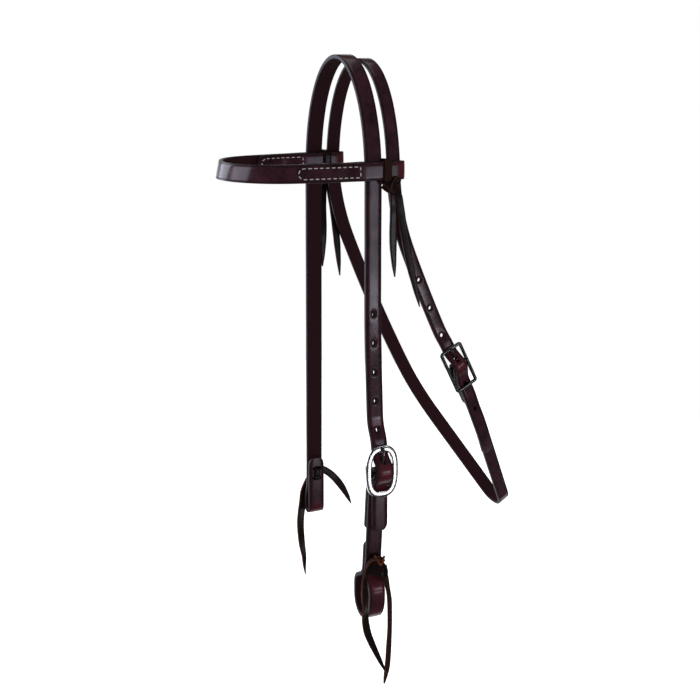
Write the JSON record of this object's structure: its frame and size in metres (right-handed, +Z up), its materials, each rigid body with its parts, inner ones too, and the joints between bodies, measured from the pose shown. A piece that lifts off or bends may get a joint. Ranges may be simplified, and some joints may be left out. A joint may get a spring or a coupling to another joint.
{
  "type": "western browband headstall",
  "caption": "Leather browband headstall with a throatlatch, a cheek piece on an oval centre-bar buckle, and lace-tied bit loops.",
  "frame": {"origin": "middle of the crown strap's underside at the poll, where the headstall rests on the head", "axes": "+Z up, -X towards the forehead, -Y towards the near (left) side that has the buckles"},
  "size_m": [0.2913, 0.142, 0.5634],
  "materials": {
    "harness_leather": "oiled, semi-gloss",
    "lace_leather": "oiled, satin",
    "stainless": "polished",
    "dark_steel": "dark, satin"
  },
  "bodies": {
    "headstall": {"crown_strap": "harness_leather", "throatlatch_strap": "harness_leather", "browband": "harness_leather", "cheek_buckle_frame": "stainless", "throatlatch_buckle_frame": "dark_steel", "off_bit_tie": "lace_leather", "near_browband_tie": "lace_leather", "off_browband_tie": "lace_leather"},
    "cheek": {"cheek_piece": "harness_leather", "near_bit_tie": "lace_leather"},
    "cheek_tongue": {"cheek_buckle_tongue": "stainless"},
    "throat_tongue": {"throatlatch_buckle_tongue": "dark_steel"}
  },
  "joints": [
    {"name": "cheek_piece_swing", "type": "hinge", "parent": "headstall", "child": "cheek", "pos_m": [0.0033, -0.0658, -0.3517], "axis": [1, 0, 0], "range_deg": [0, 20]},
    {"name": "cheek_tongue_hinge", "type": "hinge", "parent": "headstall", "child": "cheek_tongue", "pos_m": [0.0033, -0.0658, -0.3517], "axis": [1, 0, 0], "range_deg": [0, 8]},
    {"name": "throat_tongue_hinge", "type": "hinge", "parent": "headstall", "child": "throat_tongue", "pos_m": [0.08234, -0.06165, -0.26546], "axis": [0.8901, 0, 0.4558], "range_deg": [0, 8]}
  ]
}
